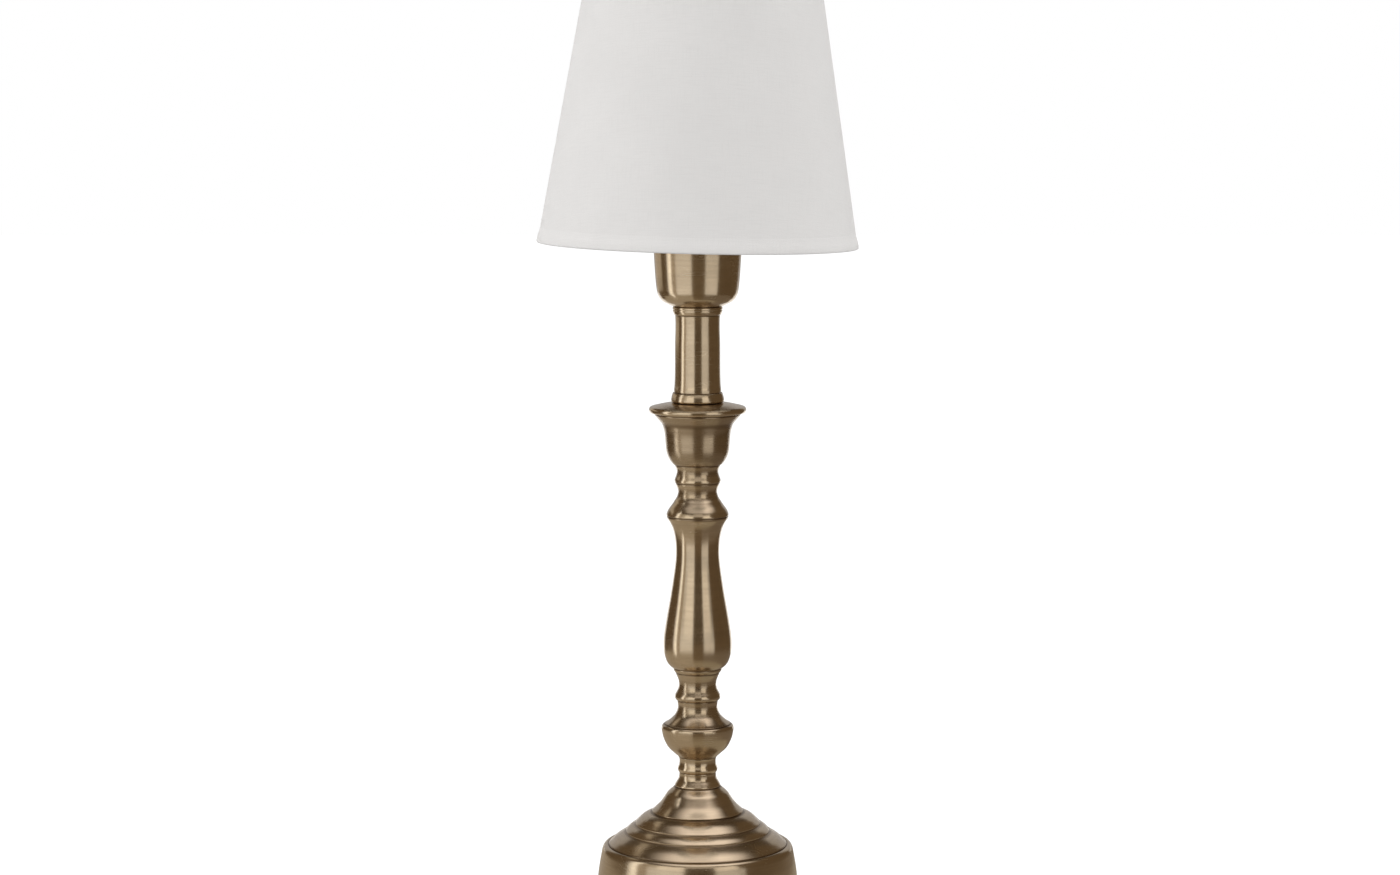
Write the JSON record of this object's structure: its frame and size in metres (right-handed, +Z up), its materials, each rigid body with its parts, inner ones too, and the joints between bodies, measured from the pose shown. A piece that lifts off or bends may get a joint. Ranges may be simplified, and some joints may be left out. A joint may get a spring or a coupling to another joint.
{
  "type": "candle lamp with shade",
  "caption": "Candlestick table lamp: turned antique brass column on a stepped round base, candle cup and drip pan, and a tapered off-white linen shade over a screw lampholder.",
  "frame": {"origin": "centre of the base's underside, on the table", "axes": "+Z is up along the column, +X is the viewer's right as the lamp is shown, -Y faces the viewer and the cable outlet is at +Y"},
  "size_m": [0.199, 0.199, 0.5938],
  "materials": {
    "antique_brass": "lathe-turned antique brass, satin",
    "felt": "pressed felt, dark",
    "zinc_steel": "zinc-plated steel",
    "iron": "raw casting",
    "black_plastic": "moulded thermoset, matt",
    "ring_plastic": "moulded, off-white",
    "ceramic": "unglazed steatite",
    "contact_brass": "plain sheet brass",
    "plated_cap": "pressed aluminium",
    "black_glass": "black insulating glass",
    "opal_glass": "opal, unlit",
    "white_enamel": "epoxy-coated wire",
    "shade_liner": "smooth lampshade liner",
    "linen": "fine off-white linen with faint slubs"
  },
  "bodies": {
    "lamp": {"base_felt": "felt", "bottom_plate": "zinc_steel", "base_weight": "iron", "base_washer": "zinc_steel", "base_nut": "zinc_steel", "base_shell": "antique_brass", "outlet_bush": "black_plastic", "threaded_rod": "zinc_steel", "foot_collar": "antique_brass", "column_bead": "antique_brass", "lower_knop": "antique_brass", "knop_cap": "antique_brass", "lower_ring": "antique_brass", "baluster": "antique_brass", "upper_bell": "antique_brass", "upper_ring": "antique_brass", "candle_cup": "antique_brass", "drip_pan": "antique_brass", "tube_seat_ring": "antique_brass", "candle_tube": "antique_brass", "tube_top_collar": "antique_brass", "lampholder_cup": "antique_brass", "cup_washer": "zinc_steel", "cup_nut": "zinc_steel", "lampholder_cap": "black_plastic", "lampholder_body": "black_plastic", "lampholder_insert": "ceramic", "screw_shell": "contact_brass", "terminal_screws": "contact_brass", "contact_post": "contact_brass"},
    "contact": {"contact_leaf": "contact_brass"},
    "bulb": {"bulb_tip": "zinc_steel", "bulb_insulator": "black_glass", "bulb_cap": "plated_cap", "bulb_glass": "opal_glass"},
    "shade": {"shade_spider": "white_enamel", "bottom_ring_wire": "white_enamel", "top_ring_wire": "white_enamel", "shade_liner": "shade_liner", "shade_fabric": "linen"},
    "ring": {"clamp_ring": "ring_plastic"}
  },
  "joints": [
    {"name": "shade_lift", "type": "slide", "parent": "lamp", "child": "shade", "axis": [0, 0, 1], "range_m": [0, 0.12]},
    {"name": "ring_turn", "type": "hinge", "parent": "shade", "child": "ring", "pos_m": [0, 0, 0.4237], "axis": [0, 0, 1], "continuous": true},
    {"name": "bulb_draw", "type": "slide", "parent": "lamp", "child": "bulb", "axis": [0, 0, 1], "range_m": [0, 0.19]},
    {"name": "contact_press", "type": "hinge", "parent": "lamp", "child": "contact", "pos_m": [0, 0.0053, 0.4095], "axis": [1, 0, 0], "range_deg": [0, 8], "stiffness_Nm_per_rad": 0.05}
  ]
}
